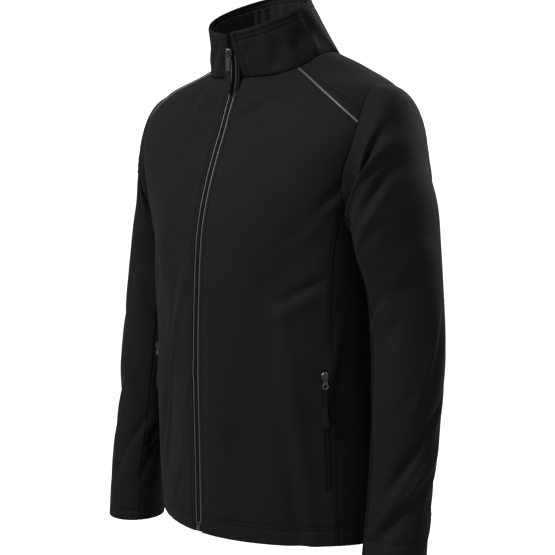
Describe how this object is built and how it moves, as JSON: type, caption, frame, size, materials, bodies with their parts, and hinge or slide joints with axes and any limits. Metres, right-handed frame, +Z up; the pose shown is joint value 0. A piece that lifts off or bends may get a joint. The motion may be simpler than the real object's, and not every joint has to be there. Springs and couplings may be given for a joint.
{
  "type": "softshell jacket",
  "caption": "Men's fitted softshell jacket with a standing collar, full front zip, side panels, zipped side pockets, reflective shoulder piping and strapped cuffs, filled out as worn.",
  "frame": {"origin": "on the centre line at the level of the side neck points, midway through the neck opening, where the wearer's shoulders hold the jacket", "axes": "+Z up, the closed front zip faces -Y, the wearer's left arm is at +X"},
  "size_m": [0.6103, 0.2819, 0.7995],
  "materials": {
    "shell": "matt woven softshell, near black",
    "shade": "matt woven softshell, near black",
    "lining": "matt fleece, black",
    "hook_and_loop": "fuzzy loop tape, black",
    "tape": "woven zip tape and nylon coil, black",
    "reflective": "satin silver-grey reflective cord",
    "metal": "bright nickel plate",
    "rubber": "matt moulded soft grip, black"
  },
  "bodies": {
    "jacket": {"front_left": "shell", "front_right": "shell", "side_panel_left": "shade", "side_panel_right": "shade", "yoke_left": "shell", "yoke_right": "shell", "back": "shell", "collar": "shell", "collar_lining": "lining", "sleeve_upper_left": "shell", "sleeve_upper_right": "shell", "sleeve_under_left": "shade", "sleeve_under_right": "shade", "cuff_strap_left": "shell", "cuff_strap_right": "shell", "cuff_loop_left": "hook_and_loop", "cuff_loop_right": "hook_and_loop", "piping_left": "reflective", "piping_right": "reflective", "zip_tape_left": "tape", "zip_tape_right": "tape", "zip_chain": "tape", "zip_garage": "shell", "main_slider": "metal", "zip_foot_box": "metal", "zip_foot_pin_left": "metal", "zip_foot_pin_right": "metal", "pocket_zip_left": "tape", "pocket_zip_right": "tape", "pocket_slider_left": "metal", "pocket_slider_right": "metal"},
    "main_pull": {"main_pull_tab": "metal", "main_pull_grip": "rubber"},
    "pocket_pull_left": {"pocket_pull_tab_left": "metal", "pocket_pull_neck_left": "rubber", "pocket_pull_grip_left": "rubber"},
    "pocket_pull_right": {"pocket_pull_tab_right": "metal", "pocket_pull_neck_right": "rubber", "pocket_pull_grip_right": "rubber"}
  },
  "joints": [
    {"name": "main_pull_hinge", "type": "hinge", "parent": "jacket", "child": "main_pull", "pos_m": [0.00004, -0.09645, -0.00553], "axis": [-1, 0, 0], "range_deg": [0, 150]},
    {"name": "pocket_pull_hinge_left", "type": "hinge", "parent": "jacket", "child": "pocket_pull_left", "pos_m": [0.17328, -0.08409, -0.43088], "axis": [-0.6124, -0.7905, 0], "range_deg": [0, 150]},
    {"name": "pocket_pull_hinge_right", "type": "hinge", "parent": "jacket", "child": "pocket_pull_right", "pos_m": [-0.17328, -0.08409, -0.43088], "axis": [-0.6124, 0.7905, 0], "range_deg": [0, 150]}
  ]
}
